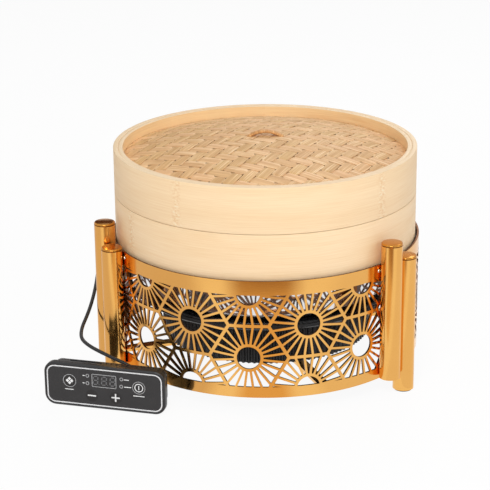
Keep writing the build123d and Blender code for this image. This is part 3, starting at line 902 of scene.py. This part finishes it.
def makeCooker(
    bottom, height, radius, ribs, ribDepth, wall, base, rimRadius, rimHeight, rimInner, rimTaper, glass,
    zones, zoneLine,
):
    top = bottom + height
    shape = bmesh.new()
    bmesh.ops.create_cone(
        shape, cap_ends=True, segments=ribs * 4, radius1=radius, radius2=radius, depth=height,
    )
    move(shape, (0, 0, (bottom + top) / 2))
    groove = 1 - ribDepth / radius
    step = pi / 2 / ribs
    sunk = [
        corner for corner in shape.verts
        if int((atan2(corner.co.x, corner.co.y) + 2 * pi) / step + 0.5) % 4 in (2, 3)
    ]
    move(shape, sized(groove, groove, 1), verts=sunk)
    lids = [face for face in shape.faces if face.normal.z > 0.9]
    bmesh.ops.inset_region(shape, faces=lids, thickness=wall + ribDepth, use_even_offset=True)
    down = bmesh.ops.extrude_face_region(shape, geom=lids)["geom"]
    move(shape, (0, 0, base - height), verts=vertsOf(down))
    bmesh.ops.delete(shape, geom=lids, context="FACES")
    newPiece("cooker_body", shape, "cooker_black", "cooker_housing")
    low = top + rimHeight
    rim = (
        (rimInner, top), (rimRadius - rimTaper[0], top), (rimRadius, top + rimTaper[1]), (rimRadius, low),
        (rimInner, low),
    )
    newPiece("cooker_rim", spun(rim, 160, 0.5), "cooker_black", "cooker_flange")
    high = low + glass
    plate = turnedRing(0, rimRadius, low, high, 160, 0.9, 4)
    newPiece("cooker_plate", plate, "cooker_glass", "cooker_glass")
    marks = [turnedRing(zone, zone + zoneLine, high - 0.05, high + 0.04, 96) for zone in zones]
    newPiece("cooker_zone_marks", joined(*marks), "cooker_glass", finish=("printDim",))
    print("cooker made")


makeCooker(**cookerValues)

# Water pan

panValues = {
    "bottom": 89, "height": 44, "thick": 1.2, "base": 130, "knee": 138, "kneeHeight": 6, "top": 148,
    "rim": 158, "lean": 0.6, "bend": 2.5,
}


def makePan(bottom, height, thick, base, knee, kneeHeight, top, rim, lean, bend):
    high = bottom + height
    outline = (
        (0, bottom), (base, bottom), (knee, bottom + kneeHeight), (top, high - thick), (rim, high - thick),
        (rim, high), (top - thick, high), (knee - thick, bottom + kneeHeight + lean),
        (base - lean, bottom + thick), (0, bottom + thick),
    )
    shape = spun(outline, 176)
    bends = []
    shape.normal_update()
    for edge in shape.edges:
        first, second = (corner.co for corner in edge.verts)
        reach = first.xy.length
        level = abs(first.z - second.z) < 0.01 and abs(second.xy.length - reach) < 0.01
        if level and len(edge.link_faces) == 2 and reach > 120 and abs(reach - rim) > 0.1:
            bends.append(edge)
    rounded(shape, bend, 4, edges=bends)
    newPiece("steel_pan", shape, "stainless", "water_pan", body="pan", sharp=50)
    print("pan made")


makePan(**panValues)

# Bamboo basket and lid

bambooValues = {
    "radius": 160, "ply": 5, "gap": 0.12, "basket": (133, 190), "liner": 143, "lid": (190, 238.3),
    "innerStep": 0.25, "joint": 0.44, "soften": 0.5,
}


def makeHoops(radius, ply, gap, basket, liner, lid, innerStep, joint, soften):
    middle, inner = radius - ply, radius - 2 * ply
    seam, start = basket[1] - joint / 2, lid[0] + joint / 2
    plies = (
        ("basket", "outer", middle, radius, basket[0], seam, "basket_hoop", "bambooBasket"),
        ("basket", "inner", inner, middle - gap, liner, seam, "basket_liner", "bambooInner"),
        ("lid", "outer", middle, radius, start, lid[1], "lid_hoop", "bamboo"),
        ("lid", "inner", inner, middle - gap, start, lid[1] - innerStep, "lid_liner", "bambooInner"),
    )
    for body, side, inside, outside, low, high, node, finish in plies:
        shape = turnedRing(inside, outside, low, high, 180, soften, 3)
        shape.normal_update()
        for face in shape.faces:
            if abs(face.normal.z) > 0.6:
                face.material_index = 1  # the cut edges show the duller end of the fibres
        newPiece(f"{body}_{side}_ply", shape, "bamboo", node, body=body, finish=(finish, "bambooEdge"))
    print("hoops made")


makeHoops(**bambooValues)

weaveValues = {
    "radius": 149.6, "edge": 227.3, "crown": 19.5, "sink": 1.3, "pitch": 12.2, "width": 12.05,
    "pinch": 1.3, "thick": 0.8, "lift": 0.7, "sag": 0.3, "sway": 0.25, "turn": 62, "segment": 1.9,
    "seed": 11,
}
weave = SimpleNamespace(**weaveValues)


def domeHeight(reach):
    return weave.edge - weave.sink + weave.crown * (1 - (reach / weave.radius) ** 2)


def overUnder(place, strip, first):
    # one where the strip lies on top, minus one below, smooth in between: over two and under two
    low = floor(place)
    share = min(max((place - low - 0.28) / 0.44, 0), 1)
    share = share * share * (3 - 2 * share)
    ends = []
    for crossing in (low, low + 1):
        phase = (crossing + strip) % 4 if first else (strip - crossing) % 4
        ends.append(1 if (phase in (0, 1)) == first else -1)
    return ends[0] + (ends[1] - ends[0]) * share


def newLayers(shape):
    return shape.loops.layers.uv.new("strip"), shape.loops.layers.float_color.new("tone")


def stripShape(strip, first, rng):
    # one strip of the weave, on the dome, with its map and its tones, which change where it comes up
    radius = weave.radius
    offset = strip * weave.pitch + rng.uniform(-weave.sway, weave.sway)
    half = sqrt(max(radius**2 - offset**2, 1))
    width = weave.width * rng.uniform(0.975, 1)
    tone = rng.uniform(0, 0.45) if first else rng.uniform(0.5, 1)
    shade, drift, phase = rng.uniform(0, 0.22), rng.uniform(0, 1), rng.uniform(0, 6.3)
    shape = bmesh.new()
    bmesh.ops.create_grid(shape, x_segments=max(8, int(2 * half / weave.segment)), y_segments=6, size=1)
    stripMap, tones = newLayers(shape)
    for corner in shape.verts:
        along, across = corner.co.x, corner.co.y * width / 2
        side = offset + across + weave.sway * sin(along * half / 21 + phase)
        side = max(min(side, radius - 0.05), 0.05 - radius)
        corner.co = (along * sqrt(radius**2 - side**2), side, 0)
    floats = {}
    for face in shape.faces:
        bit = floor((face.calc_center_median().x / weave.pitch + 0.5) / 2)
        if bit not in floats:
            floats[bit] = (rng.uniform(-0.2, 0.2), rng.uniform(0, 0.16))
        change, stain = floats[bit]
        for loop in face.loops:
            x, y, _ = loop.vert.co
            loop[stripMap].uv = (x * mm + drift, (y + drift * 90) * mm)
            side = abs(y - offset) / (width / 2)
            # painted shade in the hollow where the strip dips under its neighbour, deepest at its sides
            hollowShade = (1 - overUnder(x / weave.pitch, strip, first) ** 2) * min(side, 1) ** 3
            loop[tones] = (min(max(tone + change, 0), 1), min(shade + stain, 1), side, hollowShade)
    for corner in shape.verts:
        along, side = corner.co.x, corner.co.y
        share = (side - offset) / (width / 2)
        over = overUnder(along / weave.pitch, strip, first)
        reach = hypot(along, side)
        corner.co.y -= weave.pinch * (1 - over**2) * share * min(1, max(0, (radius - reach) / 4))
        corner.co.z = domeHeight(reach) + over * weave.lift - weave.sag * share**2
    move(shape, turned(weave.turn if first else weave.turn - 90))
    faceOut(shape)
    if shape.faces[:][0].normal.z < 0:
        bmesh.ops.reverse_faces(shape, faces=shape.faces)
    bmesh.ops.solidify(shape, geom=shape.faces[:], thickness=weave.thick)
    return shape


def makeWeave():
    rng = random.Random(weave.seed)
    count = int((weave.radius - 2) / weave.pitch)
    for name, *replaced in (("weave_strips_long", "lid_weave"), ("weave_strips_cross",)):
        lying = [stripShape(strip, bool(replaced), rng) for strip in range(-count, count + 1)]
        newPiece(name, joined(*lying), "weave", *replaced, body="lid", sharp=40)
    print("woven dome made")


makeWeave()

# Cane handle

handleValues = {
    "width": 36, "high": 5.8, "strip": 7.6, "thick": 3, "foot": 3, "bindings": 26, "binding": 0.22,
    "slant": 0.11,
    "knots": ((0.86, 0.09, 0.75), (-0.93, 0.07, 0.375)),  # place, spread and height
}


def makeHandle(width, high, strip, thick, foot, bindings, binding, slant, knots):
    half = width / 2
    radius = (half**2 + high**2) / (2 * high)
    centre = domeHeight(half) + weave.sink + high - radius
    reach = asin(half / radius) + foot / radius
    middle = radius - thick / 2
    shape = bmesh.new()
    made = bmesh.ops.create_circle(shape, cap_ends=False, segments=20, radius=1)["verts"]
    upright = turned(90, "X") @ turned(90, "Z") @ turned(90, "X")
    start = Matrix.Rotation(-reach, 4, "Y") @ Matrix.Translation((0, 0, middle))
    move(shape, sized(thick / 2, strip / 2, 1), upright, start, verts=made)
    bmesh.ops.spin(
        shape, geom=shape.verts[:] + shape.edges[:], cent=(0, 0, 0), axis=(0, 1, 0), angle=2 * reach,
        steps=bindings * 6,
    )
    fillHoles(shape)

    def windings(angle, across):
        return (angle / reach + 1) / 2 * bindings + across * slant

    for corner in shape.verts:
        angle = atan2(corner.co.x, corner.co.z)
        across = corner.co - Vector((sin(angle), 0, cos(angle))) * middle
        grown = binding * abs(sin(pi * windings(angle, across.y)))
        for place, spread, knot in knots:
            grown += knot * exp(-((angle / reach - place) / spread) ** 2)
        if across.length > 0.001:
            corner.co += across.normalized() * grown
    stripMap, tones = newLayers(shape)
    for face in shape.faces:
        spot = face.calc_center_median()
        angle = atan2(spot.x, spot.z)
        band = int(windings(angle, spot.y))
        for loop in face.loops:
            loop[stripMap].uv = (loop.vert.co.y * mm, angle * radius * mm)
            loop[tones] = (0.5 + 0.5 * sin(band * 2.4), 0.12 + 0.1 * sin(band * 1.7), 0, 0)
    move(shape, (0, 0, centre))
    faceOut(shape)
    newPiece("cane_loop", shape, "cane", "lid_handle", body="lid", sharp=60)
    print("handle made")


makeHandle(**handleValues)

# Control box, drawn facing -Y about its own foot, then turned and set beside the ring

boxValues = {
    "width": 129.3, "height": 47, "corner": 11.5, "front": 8, "border": 3, "softened": 1.6,
    "pocket": 1.5, "wall": 2.4, "web": 1, "line": 1.25, "caseInset": 4, "case": 14, "printed": 0.07,
    "lifted": 0.17,
    "display": {"x": (-13.1, 13.1), "z": (24, 38.1), "corner": 1.2, "line": 0.55},
    "digits": {"x": (-9.1, 0.1, 9.1), "z": (26.9, 35.8), "width": 5, "thick": 1.2, "slope": 0.08},
    "dot": {"away": 3.8, "size": 0.7},
    "keys": ((-37.1, 28.2), (37, 27.6), (-13.5, 14), (11.9, 14.1)),  # menu, power, minus and plus
    "touch": 6.6, "keyRings": (7, 6.8), "tiles": {"size": 2.665, "spread": 2.3}, "powerRing": 4.6,
    "powerBar": (0.9, 4.4), "minusBar": (8.7, 1.5), "plusBar": (8.8, 1.5),
    "lamps": ((-17.7, 35.5), (-17.9, 27.3), (18.7, 35.2), (18.3, 27.2)), "lamp": 1.9, "dash": 0.9,
    "dashes": (
        (-37.8, 18.7, 9), (36.8, 18.5, 12), (24, 35, 5.5),
        (25.2, 27.1, 7.4), (-21.7, 35.4, 2.2), (-22, 27.2, 2.2),
    ),
}
box = SimpleNamespace(**boxValues)
tuck = 0.02  # how far a printed mark goes into the face


def ringOnFace(centre, radius, line, depth, steps=48):
    shape = turnedRing(radius - line, radius, -depth, tuck, steps)
    move(shape, turned(-90, "X"), (centre[0], 0, centre[1]))
    return shape


def barOnFace(centre, size, depth, lean=0):
    shape = block((size[0], depth + tuck, size[1]), (0, (tuck - depth) / 2, 0))
    move(shape, turned(lean, "Y"), (centre[0], 0, centre[1]))
    return shape


def displayFrame(x, z, corner, line, depth):
    shape = plateShape(x[1] - x[0], z[1] - z[0], corner, depth + tuck)
    move(shape, ((x[0] + x[1]) / 2, -depth, z[0]))
    faces = [face for face in shape.faces if abs(face.normal.y) > 0.9]
    for face in faces:
        insetFace(shape, face, line)
    loops = [list(face.edges) for face in faces]
    bmesh.ops.delete(shape, geom=faces, context="FACES_ONLY")
    bmesh.ops.bridge_loops(shape, edges=loops[0] + loops[1])
    faceOut(shape)
    return shape


def digitShape(middle, values, depth):
    # seven bars, as an unlit number display shows them
    low, high = values["z"]
    wide, tall, thick = values["width"], high - low, values["thick"]
    bars = [((0, low + tall * share), (wide - thick * 1.5, thick)) for share in (0, 0.5, 1)]
    for side in (-wide / 2, wide / 2):
        for share in (0.25, 0.75):
            bars.append(((side, low + tall * share), (thick, tall / 2 - thick * 1.2)))
    shape = joined(*[barOnFace(*bar, depth) for bar in bars])
    for corner in shape.verts:
        corner.co.x += middle + (corner.co.z - low - tall / 2) * values["slope"]
    return shape


def boxPlate(inset, corner, depth, steps):
    return plateShape(box.width - 2 * inset, box.height - 2 * inset, corner, depth, steps)


def makeControlBox():
    place = atBox()
    shape = boxPlate(0, box.corner, box.front, 10)
    rounded(shape, box.softened, 4, 60)
    face = largestFace(shape, -1)
    insetFace(shape, face, box.border - box.softened)
    insetFace(shape, face, 0.02, -box.pocket)
    back = largestFace(shape, 1)
    insetFace(shape, back, box.wall)
    insetFace(shape, back, 0.02, box.pocket - box.front + box.web)
    newPiece("control_bezel", shape, "cooker_black", "control_frame", moved=place)

    inset = box.border + 0.05
    shape = boxPlate(inset, box.corner - inset, box.pocket - 0.05, 10)
    move(shape, (0, 0.05, inset))
    face = largestFace(shape, -1)
    insetFace(shape, face, box.line)
    for border in shape.faces:
        if border is not face and border.normal.y < -0.9:
            border.material_index = 1
    insetFace(shape, face, 0.12, -0.12)
    newPiece(
        "control_face_plate", shape, "control_face", "control_fascia", finish=("control_face", "silver"),
        moved=place,
    )

    inset = box.caseInset
    shape = boxPlate(inset, box.corner - inset / 2, box.case, 8)
    rounded(shape, 1.2, 3, 60)
    move(shape, (0, box.front, inset))
    parts = [shape]
    top = box.height - inset
    for step in range(3):  # long ribs on the left, short ones on the right
        parts.append(block((34, 1, 1.4), (-25, box.front + 3 + 3.2 * step, top + 0.3), 0.3))
    for step in range(11):
        parts.append(block((2.6, 8, 1.4), (-4 + 5.6 * step, box.front + 6.5, top + 0.2), 0.4))
    newPiece("control_back_shell", joined(*parts), "cooker_black", "control_case", moved=place)
    print("control box made")


def makePrints():
    depth, (menu, power, minus, plus) = box.printed, box.keys
    fine = [displayFrame(**box.display, depth=depth)]
    fine += [ringOnFace(spot, radius, 0.5, depth) for spot, radius in zip((menu, power), box.keyRings)]
    fine += [ringOnFace(spot, box.lamp, 0.6, depth, 24) for spot in box.lamps]
    dim = []
    for x in box.digits["x"]:
        dim.append(digitShape(x, box.digits, depth))
        dim.append(barOnFace((x + box.dot["away"], box.digits["z"][0]), [box.dot["size"]] * 2, depth))
    bars = [(power, box.powerBar), (minus, box.minusBar), (plus, box.plusBar)]
    bars += [((x, z), (length, box.dash)) for x, z, length in box.dashes]
    bright = [barOnFace(*bar, depth) for bar in bars]
    bright.append(barOnFace(plus, box.plusBar[::-1], depth * 0.9))
    bright.append(ringOnFace(power, box.powerRing, 0.9, depth))
    for quarter in range(4):
        away = Matrix.Rotation(pi / 2 * quarter, 2) @ Vector((box.tiles["spread"], 0))
        bright.append(barOnFace(Vector(menu) + away, [box.tiles["size"]] * 2, depth, 45))
    dark = [ringOnFace(spot, box.touch, box.touch - 0.01, depth * 0.3, 40) for spot in box.keys]
    place = atBox() @ Matrix.Translation((0, box.lifted, 0))
    for name, marks, finish in (
        ("face_marks_bright", bright, "print"), ("face_marks_fine", fine, "printFine"),
        ("face_marks_dim", dim, "printDim"), ("touch_zones", dark, "touchZone"),
    ):
        newPiece(name, joined(*marks), "control_face", finish=(finish,), moved=place)
    print("face printed")


makeControlBox()
makePrints()

# Finishes of the pieces that come straight from the frame

nodeFinishes = {
    "gold": ("cross_bar_front", "cross_bar_side"),
    # the brackets inside the ring in the dark gold: painted shade
    "goldCut": ("rim_brackets",),
    "rubber": ("cooker_feet", "cooker_gland", "control_gland"),
    "inner_plastic": ("coil_carrier", "display_module", "fan_frame", "fan_rotor"),
    "copper": ("induction_coil",),
    "aluminium": ("heat_sensor", "heat_sink"),
    "circuit_board": ("power_board", "key_board"),
    "bambooSlat": ("basket_slats", "basket_crossbars", "lid_brace_long", "lid_brace_cross"),
}
for finishName, nodeNames in nodeFinishes.items():
    for nodeName in nodeNames:
        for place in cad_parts[nodeName].material_slots:
            place.material = finishes[finishName]
print("frame pieces finished:", sum(len(names) for names in nodeFinishes.values()))

bpy.context.scene.view_settings.view_transform = "Standard"
